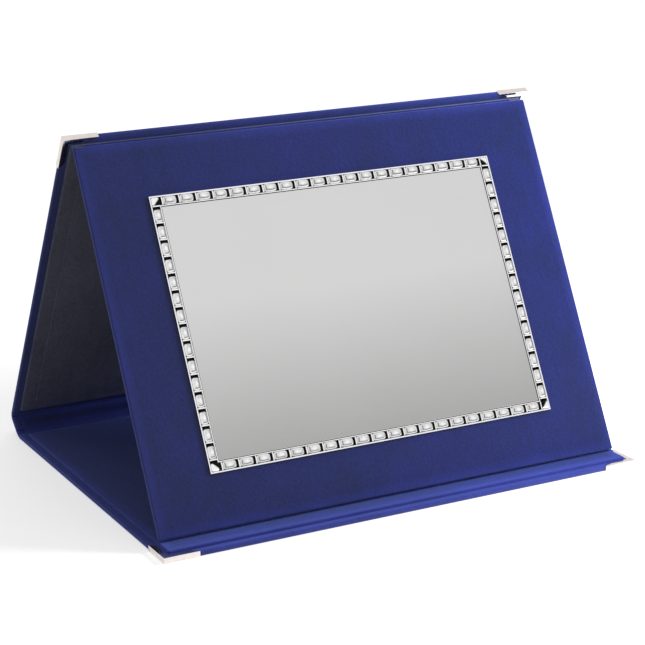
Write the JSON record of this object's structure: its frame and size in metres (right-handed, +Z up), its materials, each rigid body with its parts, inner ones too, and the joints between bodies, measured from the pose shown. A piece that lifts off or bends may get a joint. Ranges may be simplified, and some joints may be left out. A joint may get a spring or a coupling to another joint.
{
  "type": "award plaque presentation case",
  "caption": "Velvet-covered book-style case that stands open as an easel and shows a silver plate with an embossed border.",
  "frame": {"origin": "centre of the base cover's underside, on the table", "axes": "+X to the case's right along the hinges, +Y to the back, +Z up"},
  "size_m": [0.288, 0.2286, 0.1973],
  "materials": {
    "velvet": "short pile velvet, navy blue",
    "hinge_velvet": "short pile velvet over the cloth hinges",
    "greyboard": "plain greyboard",
    "lining_paper": "matt backing cloth",
    "nickel": "bright nickel plate",
    "silver_plate": "satin field with a polished embossed border",
    "tape": "foam mounting tape"
  },
  "bodies": {
    "base": {"base_board": "greyboard", "base_covering": "velvet", "base_lining_board": "greyboard", "base_lining_velvet": "velvet", "metal_corner_front_left": "nickel", "metal_corner_front_right": "nickel", "base_hinge_cloth_outer": "hinge_velvet", "base_hinge_cloth_inner": "hinge_velvet"},
    "spine": {"spine_board": "greyboard", "spine_covering": "velvet", "spine_lining": "velvet"},
    "back_cover": {"back_board": "greyboard", "back_covering": "velvet", "back_lining_board": "greyboard", "back_lining_velvet": "velvet", "back_pad": "velvet", "metal_corner_top_left": "nickel", "metal_corner_top_right": "nickel", "back_hinge_cloth_outer": "hinge_velvet", "back_hinge_cloth_inner": "hinge_velvet", "panel_hinge_cloth": "hinge_velvet"},
    "panel": {"panel_board": "greyboard", "panel_velvet": "velvet", "panel_back_lining": "lining_paper", "award_plate": "silver_plate", "plate_tape": "tape"}
  },
  "joints": [
    {"name": "spine_hinge", "type": "hinge", "parent": "base", "child": "spine", "pos_m": [0, 0.109, 0], "axis": [-1, 0, 0], "range_deg": [0, 42], "deforming": ["base_hinge_cloth_outer", "base_hinge_cloth_inner"]},
    {"name": "back_cover_hinge", "type": "hinge", "parent": "spine", "child": "back_cover", "pos_m": [0, 0.12059, 0.01044], "axis": [-1, 0, 0], "range_deg": [0, 79], "deforming": ["back_hinge_cloth_outer", "back_hinge_cloth_inner"]},
    {"name": "panel_hinge", "type": "hinge", "parent": "back_cover", "child": "panel", "pos_m": [0, 0.00593, 0.19097], "axis": [1, 0, 0], "range_deg": [0, 58.63], "deforming": ["panel_hinge_cloth"]}
  ],
  "couplings": [
    {"joint": "panel_hinge", "follows": "back_cover_hinge", "ratio": 0.74213}
  ]
}
